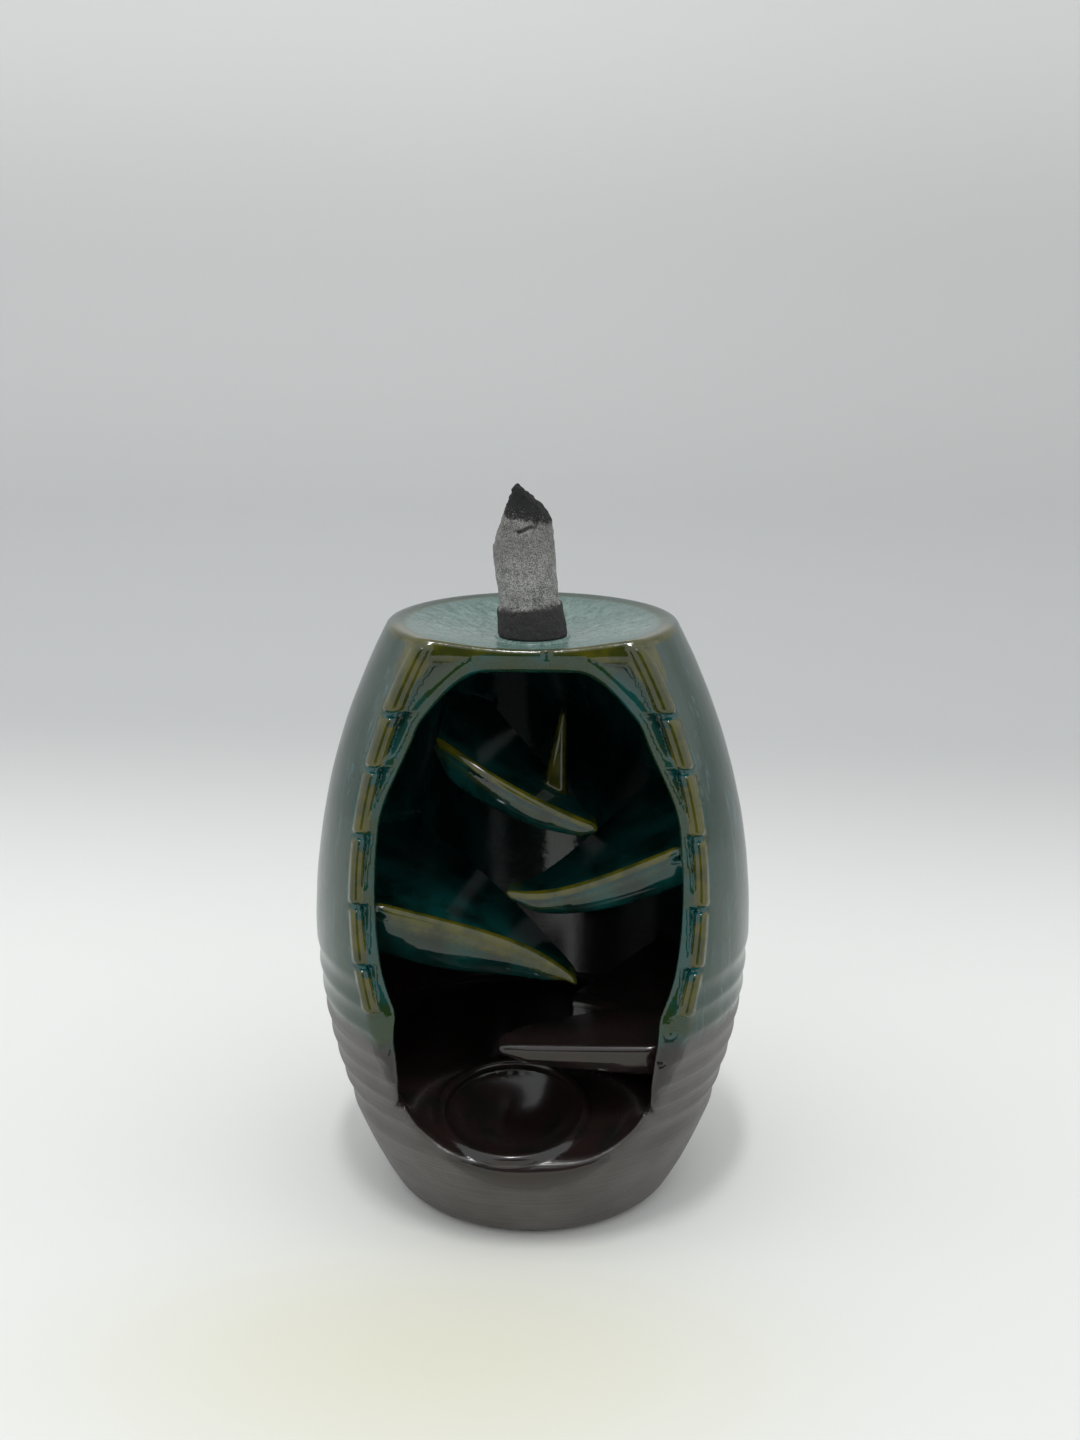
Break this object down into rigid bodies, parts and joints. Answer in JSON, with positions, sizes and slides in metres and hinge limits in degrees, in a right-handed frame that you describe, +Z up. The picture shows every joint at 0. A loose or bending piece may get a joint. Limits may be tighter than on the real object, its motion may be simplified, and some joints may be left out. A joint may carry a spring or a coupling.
{
  "type": "backflow incense burner",
  "caption": "Glazed barrel-shaped burner with an open front, where cone smoke falls from a dish on top over stepped ledges into a pond; a part-burnt incense cone stands in the dish.",
  "frame": {"origin": "centre of the foot ring, on the plane it stands on, under the barrel's axis", "axes": "+Z up along the barrel's axis, -Y towards the open front, +X to the right seen from the front"},
  "size_m": [0.08, 0.0733, 0.1318],
  "materials": {
    "glazed_stoneware": "glossy reactive glaze, olive where thin and dark teal where deep",
    "incense_ash": "matte burnt powder"
  },
  "bodies": {
    "root": {"burner_body": "glazed_stoneware", "incense_cone": "incense_ash"}
  },
  "joints": []
}
